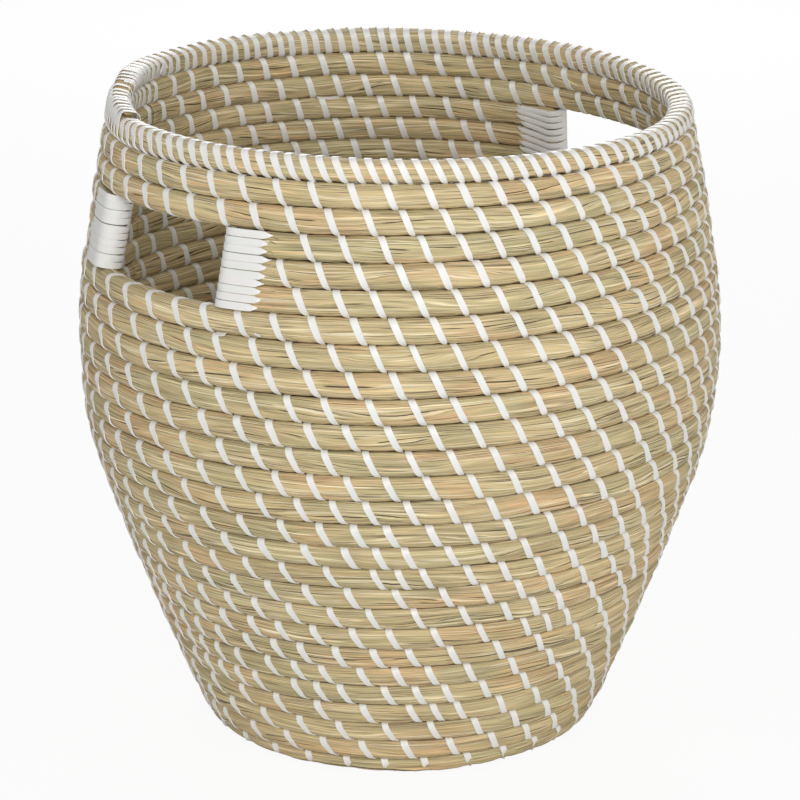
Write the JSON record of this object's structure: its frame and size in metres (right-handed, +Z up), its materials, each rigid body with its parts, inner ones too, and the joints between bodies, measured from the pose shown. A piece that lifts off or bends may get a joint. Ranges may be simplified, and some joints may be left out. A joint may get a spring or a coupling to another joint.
{
  "type": "coiled seagrass basket",
  "caption": "Round bellied basket of coiled seagrass sewn with flat white strip, open on top, with two bound hand openings under the rim.",
  "frame": {"origin": "centre of the bounding box at the underside of the base, on the axis of the coil", "axes": "+Z up out of the mouth; +X through the right hand opening and -X through the left one; -Y towards the front panel between them"},
  "size_m": [0.3765, 0.3765, 0.3869],
  "materials": {
    "seagrass": "matt dried grass",
    "strip": "satin flat plastic strip"
  },
  "bodies": {
    "root": {"base_coil": "seagrass", "wall_row_01": "seagrass", "wall_row_02": "seagrass", "wall_row_03": "seagrass", "wall_row_04": "seagrass", "wall_row_05": "seagrass", "wall_row_06": "seagrass", "wall_row_07": "seagrass", "wall_row_08": "seagrass", "wall_row_09": "seagrass", "wall_row_10": "seagrass", "wall_row_11": "seagrass", "wall_row_12": "seagrass", "wall_row_13": "seagrass", "wall_row_14": "seagrass", "wall_row_15": "seagrass", "wall_row_16": "seagrass", "wall_row_17": "seagrass", "wall_row_18": "seagrass", "wall_row_19": "seagrass", "wall_row_20": "seagrass", "wall_row_21": "seagrass", "front_panel_row_1": "seagrass", "front_panel_row_2": "seagrass", "front_panel_row_3": "seagrass", "back_panel_row_1": "seagrass", "back_panel_row_2": "seagrass", "back_panel_row_3": "seagrass", "back_panel_row_4": "seagrass", "upper_row_1": "seagrass", "upper_row_2": "seagrass", "rim_row": "seagrass", "left_opening_back_binding": "strip", "left_opening_front_binding": "strip", "right_opening_front_binding": "strip", "right_opening_back_binding": "strip"}
  },
  "joints": []
}
